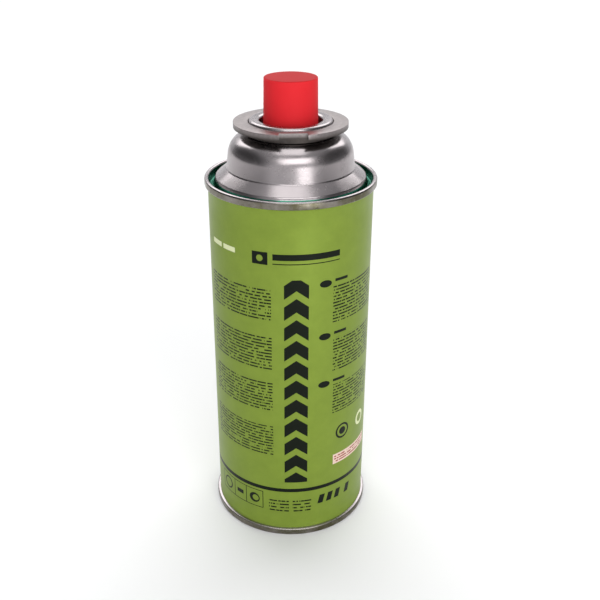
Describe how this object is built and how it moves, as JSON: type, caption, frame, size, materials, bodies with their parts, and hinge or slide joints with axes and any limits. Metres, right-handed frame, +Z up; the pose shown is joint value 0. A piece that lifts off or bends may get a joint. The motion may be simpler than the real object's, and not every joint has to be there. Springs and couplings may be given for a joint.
{
  "type": "fuel canister",
  "caption": "Tall tinplate gas cartridge with a domed top, a notched steel collar, a press valve and a pull-off cap.",
  "frame": {"origin": "centre of the base, on the surface that the can stands on", "axes": "+Z up along the can's axis towards the valve; the collar's notch faces -Y"},
  "size_m": [0.068, 0.068, 0.1905],
  "materials": {
    "printed_tinplate": "gloss lacquer over green print on tinplate",
    "bare_steel": "satin pressed steel",
    "bare_tinplate": "bright tinplate",
    "black_rubber": "matt",
    "white_acetal": "moulded",
    "spring_steel": "drawn wire",
    "red_polythene": "moulded, soft gloss"
  },
  "bodies": {
    "can_body": {"can": "printed_tinplate", "collar": "bare_steel", "valve_cup": "bare_tinplate", "cup_gasket": "black_rubber", "stem_gasket": "black_rubber", "valve_housing": "white_acetal", "valve_spring": "spring_steel"},
    "stem_body": {"valve_stem": "white_acetal"},
    "cap_body": {"cap": "red_polythene"}
  },
  "joints": [
    {"name": "cap_lift", "type": "slide", "parent": "can_body", "child": "cap_body", "axis": [0, 0, 1], "range_m": [0, 0.03]},
    {"name": "stem_press", "type": "slide", "parent": "can_body", "child": "stem_body", "axis": [0, 0, -1], "range_m": [0, 0.0018], "stiffness_N_per_m": 2500, "deforming": ["valve_spring"]}
  ]
}
